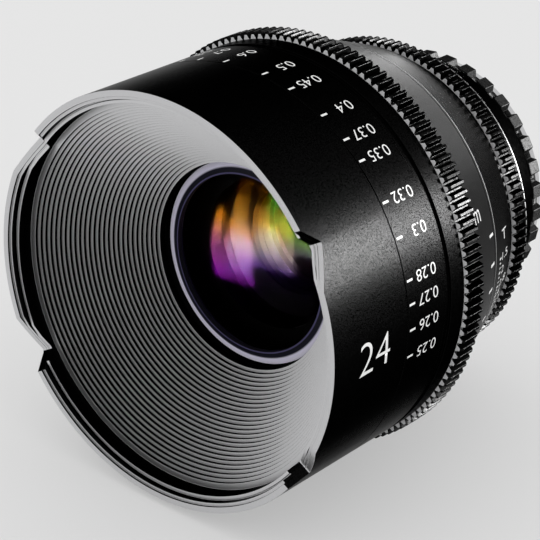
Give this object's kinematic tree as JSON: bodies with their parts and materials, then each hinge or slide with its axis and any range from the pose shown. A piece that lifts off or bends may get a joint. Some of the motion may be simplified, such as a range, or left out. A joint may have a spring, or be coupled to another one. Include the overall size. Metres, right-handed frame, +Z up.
{
  "type": "wide-angle lens",
  "caption": "Wide-angle cinema lens with a ribbed front hood, geared focus and iris rings, sliding focus group, leaf iris and bayonet mount.",
  "frame": {"origin": "centre of the bayonet mount's flange face, on the optical axis", "axes": "+Y along the optical axis from the front of the lens to the camera, +Z up, +X the side with the index line"},
  "size_m": [0.1176, 0.1275, 0.1176],
  "materials": {
    "black_anodised": "satin black anodised, fine grain",
    "ring_black": "satin black anodised focus ring",
    "cone_black": "satin black anodised cone",
    "iris_ring_black": "satin black anodised iris ring",
    "edge_black": "black anodised with a polished edge",
    "gear_black": "semi-gloss black anodised gear",
    "baffle_black": "turned ribs, matt black",
    "grey_anodised": "grey anodised, matt",
    "bare_aluminium": "bare turned aluminium",
    "screw_steel": "steel",
    "blade_steel": "blackened spring steel",
    "mount_steel": "ground stainless steel",
    "cam_brass": "brass",
    "front_glass": "coated optical glass",
    "inner_glass": "coated optical glass",
    "grip_black": "black rubber"
  },
  "bodies": {
    "barrel": {"front_barrel": "black_anodised", "ribbed_baffle": "baffle_black", "front_retaining_ring": "grey_anodised", "front_cell": "black_anodised", "front_cell_lock_ring": "bare_aluminium", "front_element": "front_glass", "front_spacer": "black_anodised", "second_element": "inner_glass", "third_element": "inner_glass", "third_element_retainer": "black_anodised", "guide_barrel": "bare_aluminium", "guide_barrel_screws": "screw_steel", "focus_stop_pin": "screw_steel", "mid_barrel": "cone_black", "barrel_screws": "screw_steel", "rear_barrel": "black_anodised", "iris_stop_ring": "edge_black", "iris_base_plate": "black_anodised", "iris_lock_ring": "black_anodised", "rear_cell": "black_anodised", "rear_cell_lock_ring": "bare_aluminium", "seventh_element": "inner_glass", "eighth_element": "inner_glass", "ninth_element": "inner_glass", "tenth_element": "inner_glass", "rear_spacers": "black_anodised", "rear_element_retainer": "black_anodised", "grip_ring": "grip_black", "mount_shim": "cam_brass", "bayonet_mount": "mount_steel", "mount_screws": "screw_steel", "rear_light_mask": "black_anodised"},
    "focus_ring": {"focus_ring": "ring_black", "focus_gear": "gear_black", "cam_sleeve": "cam_brass", "cam_lock_ring": "bare_aluminium"},
    "focus_carriage": {"focus_carriage": "black_anodised", "follower_studs": "screw_steel", "follower_rollers": "cam_brass", "fourth_element": "inner_glass", "focus_group_spacer": "black_anodised", "fifth_element": "inner_glass", "sixth_element": "inner_glass", "focus_group_retainer": "black_anodised"},
    "iris_ring": {"iris_ring": "iris_ring_black", "iris_gear": "gear_black", "iris_drive_pin": "screw_steel", "iris_drive_ring": "cam_brass"},
    "iris_blade_01": {"iris_blade_01": "blade_steel"},
    "iris_blade_02": {"iris_blade_02": "blade_steel"},
    "iris_blade_03": {"iris_blade_03": "blade_steel"},
    "iris_blade_04": {"iris_blade_04": "blade_steel"},
    "iris_blade_05": {"iris_blade_05": "blade_steel"},
    "iris_blade_06": {"iris_blade_06": "blade_steel"},
    "iris_blade_07": {"iris_blade_07": "blade_steel"},
    "iris_blade_08": {"iris_blade_08": "blade_steel"},
    "iris_blade_09": {"iris_blade_09": "blade_steel"},
    "iris_blade_10": {"iris_blade_10": "blade_steel"},
    "iris_blade_11": {"iris_blade_11": "blade_steel"}
  },
  "joints": [
    {"name": "focus_turn", "type": "hinge", "parent": "barrel", "child": "focus_ring", "pos_m": [0, -0.0766, 0], "axis": [0, 1, 0], "range_deg": [-5.6, 155.4]},
    {"name": "focus_slide", "type": "slide", "parent": "barrel", "child": "focus_carriage", "axis": [0, 1, 0], "range_m": [-0.00021, 0.0058]},
    {"name": "iris_turn", "type": "hinge", "parent": "barrel", "child": "iris_ring", "pos_m": [0, -0.034, 0], "axis": [0, 1, 0], "range_deg": [-31.4, 2.9]},
    {"name": "iris_blade_01_swing", "type": "hinge", "parent": "barrel", "child": "iris_blade_01", "pos_m": [0.027, -0.0284, 0], "axis": [0, 1, 0], "range_deg": [-27.48, 2.55]},
    {"name": "iris_blade_02_swing", "type": "hinge", "parent": "barrel", "child": "iris_blade_02", "pos_m": [0.02271, -0.0284, -0.0146], "axis": [0, 1, 0], "range_deg": [-27.48, 2.55]},
    {"name": "iris_blade_03_swing", "type": "hinge", "parent": "barrel", "child": "iris_blade_03", "pos_m": [0.01122, -0.0284, -0.02456], "axis": [0, 1, 0], "range_deg": [-27.48, 2.55]},
    {"name": "iris_blade_04_swing", "type": "hinge", "parent": "barrel", "child": "iris_blade_04", "pos_m": [-0.00384, -0.0284, -0.02673], "axis": [0, 1, 0], "range_deg": [-27.48, 2.55]},
    {"name": "iris_blade_05_swing", "type": "hinge", "parent": "barrel", "child": "iris_blade_05", "pos_m": [-0.01768, -0.0284, -0.02041], "axis": [0, 1, 0], "range_deg": [-27.48, 2.55]},
    {"name": "iris_blade_06_swing", "type": "hinge", "parent": "barrel", "child": "iris_blade_06", "pos_m": [-0.02591, -0.0284, -0.00761], "axis": [0, 1, 0], "range_deg": [-27.48, 2.55]},
    {"name": "iris_blade_07_swing", "type": "hinge", "parent": "barrel", "child": "iris_blade_07", "pos_m": [-0.02591, -0.0284, 0.00761], "axis": [0, 1, 0], "range_deg": [-27.48, 2.55]},
    {"name": "iris_blade_08_swing", "type": "hinge", "parent": "barrel", "child": "iris_blade_08", "pos_m": [-0.01768, -0.0284, 0.02041], "axis": [0, 1, 0], "range_deg": [-27.48, 2.55]},
    {"name": "iris_blade_09_swing", "type": "hinge", "parent": "barrel", "child": "iris_blade_09", "pos_m": [-0.00384, -0.0284, 0.02673], "axis": [0, 1, 0], "range_deg": [-27.48, 2.55]},
    {"name": "iris_blade_10_swing", "type": "hinge", "parent": "barrel", "child": "iris_blade_10", "pos_m": [0.01122, -0.0284, 0.02456], "axis": [0, 1, 0], "range_deg": [-27.48, 2.55]},
    {"name": "iris_blade_11_swing", "type": "hinge", "parent": "barrel", "child": "iris_blade_11", "pos_m": [0.02271, -0.0284, 0.0146], "axis": [0, 1, 0], "range_deg": [-27.48, 2.55]}
  ],
  "couplings": [
    {"joint": "focus_slide", "follows": "focus_turn", "m_per_rad": 0.0021352},
    {"joint": "iris_blade_01_swing", "follows": "iris_turn", "ratio": 0.875},
    {"joint": "iris_blade_02_swing", "follows": "iris_turn", "ratio": 0.875},
    {"joint": "iris_blade_03_swing", "follows": "iris_turn", "ratio": 0.875},
    {"joint": "iris_blade_04_swing", "follows": "iris_turn", "ratio": 0.875},
    {"joint": "iris_blade_05_swing", "follows": "iris_turn", "ratio": 0.875},
    {"joint": "iris_blade_06_swing", "follows": "iris_turn", "ratio": 0.875},
    {"joint": "iris_blade_07_swing", "follows": "iris_turn", "ratio": 0.875},
    {"joint": "iris_blade_08_swing", "follows": "iris_turn", "ratio": 0.875},
    {"joint": "iris_blade_09_swing", "follows": "iris_turn", "ratio": 0.875},
    {"joint": "iris_blade_10_swing", "follows": "iris_turn", "ratio": 0.875},
    {"joint": "iris_blade_11_swing", "follows": "iris_turn", "ratio": 0.875}
  ]
}
